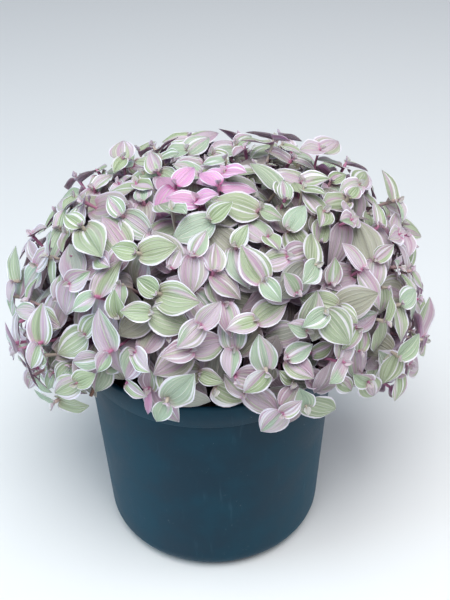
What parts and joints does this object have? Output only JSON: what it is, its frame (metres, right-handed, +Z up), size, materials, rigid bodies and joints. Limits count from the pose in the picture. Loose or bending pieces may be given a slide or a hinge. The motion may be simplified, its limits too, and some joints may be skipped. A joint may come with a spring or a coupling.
{
  "type": "potted turtle vine",
  "caption": "Potted turtle vine: a round plastic pot of compost with a dense mound of branching stems and small pointed leaves that spills over the rim.",
  "frame": {"origin": "centre of the pot's flat base, on the surface that it stands on", "axes": "+Z up, -Y towards the side that the picture shows, +X to the right in the picture"},
  "size_m": [0.1984, 0.1882, 0.1927],
  "materials": {
    "pot_plastic": "matte, slightly dusty dark petrol blue",
    "compost": "dark, damp, crumbly",
    "leaf_green": "satin, pale sage green striped with cream and pink",
    "leaf_pink": "satin, pink and white striped with pale green"
  },
  "bodies": {
    "root": {"pot": "pot_plastic", "soil": "compost", "stem_01": "leaf_green", "stem_02": "leaf_pink", "stem_03": "leaf_green", "stem_04": "leaf_green", "stem_05": "leaf_pink", "stem_06": "leaf_green", "stem_07": "leaf_green", "stem_08": "leaf_pink", "stem_09": "leaf_green", "stem_10": "leaf_green", "stem_11": "leaf_pink", "stem_12": "leaf_green", "stem_13": "leaf_green", "stem_14": "leaf_pink", "stem_15": "leaf_green", "stem_16": "leaf_green", "stem_17": "leaf_pink", "stem_18": "leaf_green", "stem_19": "leaf_green", "stem_20": "leaf_pink", "stem_21": "leaf_green", "stem_22": "leaf_green", "stem_23": "leaf_pink", "stem_24": "leaf_green", "stem_25": "leaf_green", "stem_26": "leaf_pink", "stem_27": "leaf_green", "stem_28": "leaf_green", "stem_29": "leaf_pink", "stem_30": "leaf_green", "stem_31": "leaf_green", "stem_32": "leaf_pink", "stem_33": "leaf_green", "stem_34": "leaf_green", "stem_35": "leaf_pink"}
  },
  "joints": []
}
